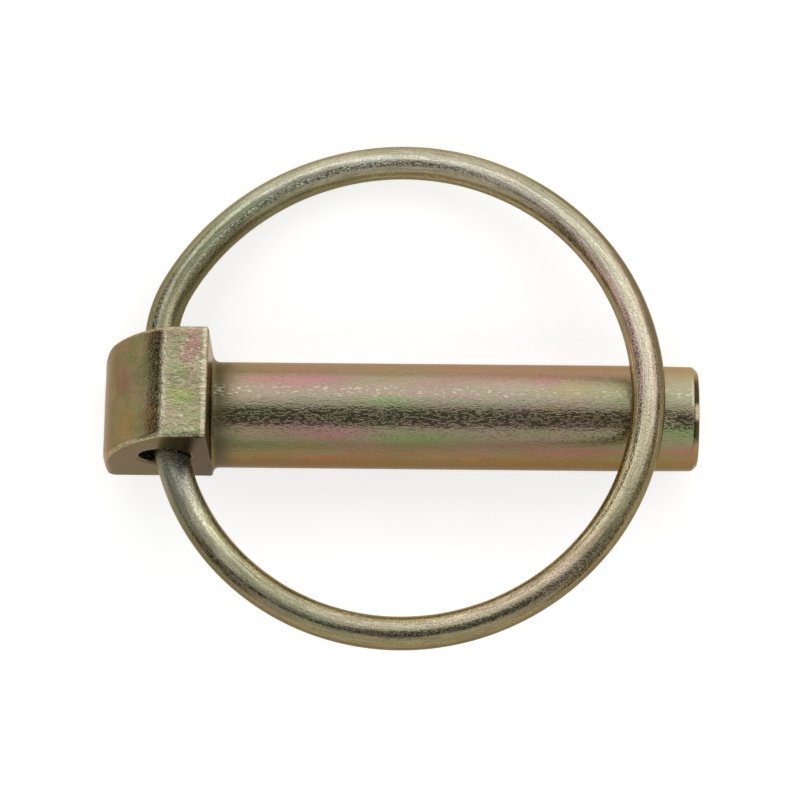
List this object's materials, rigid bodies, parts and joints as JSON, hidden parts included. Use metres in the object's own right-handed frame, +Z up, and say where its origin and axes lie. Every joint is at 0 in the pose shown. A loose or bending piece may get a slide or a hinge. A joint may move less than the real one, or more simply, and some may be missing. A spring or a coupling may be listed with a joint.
{
  "type": "lynch pin",
  "caption": "Round steel pin with an offset domed head and a sprung wire ring hinged through the head, which snaps over the tip to keep the pin in its hole.",
  "frame": {"origin": "on the shank's axis, in the middle of the grip between the shoulder and the tapered tip", "axes": "+X along the shank towards the tip; +Z up as the part lies at rest, on the shank and on the side of the ring at +Y"},
  "size_m": [0.056, 0.0467, 0.0192],
  "materials": {
    "forged_steel": "yellow-passivated zinc plate, satin, with faint pink and green colour shifts",
    "spring_wire": "yellow-passivated zinc plate over drawn wire, satin"
  },
  "bodies": {
    "pin": {"pin": "forged_steel"},
    "ring": {"ring": "spring_wire"}
  },
  "joints": [
    {"name": "ring_hinge", "type": "hinge", "parent": "pin", "child": "ring", "pos_m": [-0.02365, 0.00118, 0.00329], "axis": [0, -0.9412, 0.3379], "range_deg": [0, 170]}
  ]
}
